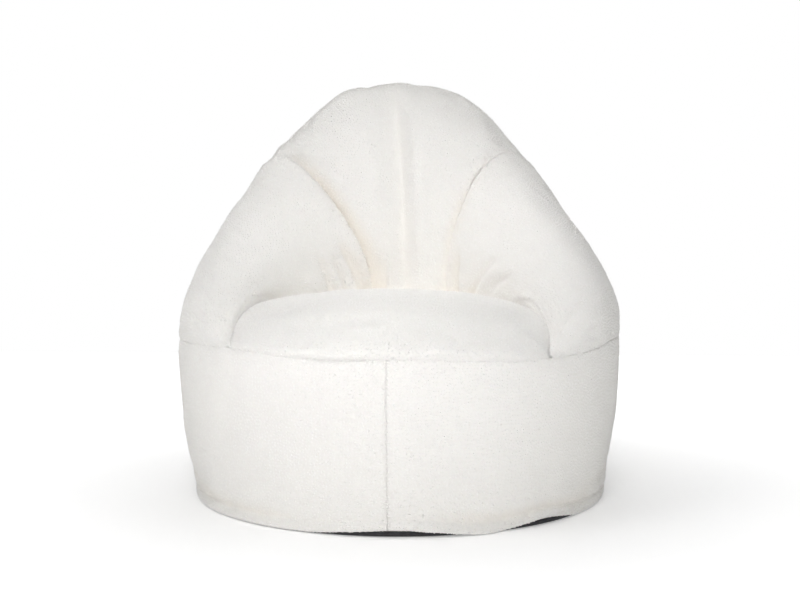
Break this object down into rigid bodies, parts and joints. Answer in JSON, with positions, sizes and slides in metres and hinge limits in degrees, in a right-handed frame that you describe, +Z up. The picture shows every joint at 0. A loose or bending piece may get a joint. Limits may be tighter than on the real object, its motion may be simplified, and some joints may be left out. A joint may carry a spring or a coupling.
{
  "type": "foam bean bag chair",
  "caption": "Round foam-filled bean bag chair with a crowned seat, winged hooded back and low drum body, covered in cream boucle over a black non-slip base.",
  "frame": {"origin": "on the floor under the middle of the round base cloth", "axes": "+Z up, -Y towards the front, where the sitter's legs go, +X to the right seen from the front"},
  "size_m": [0.8738, 0.9152, 0.835],
  "materials": {
    "boucle": "curly cream boucle pile, matt",
    "base_cloth": "black woven non-slip cloth, matt"
  },
  "bodies": {
    "root": {"base": "base_cloth", "band_left": "boucle", "band_right": "boucle", "seat": "boucle", "left_wing": "boucle", "right_wing": "boucle", "back_centre": "boucle"}
  },
  "joints": []
}
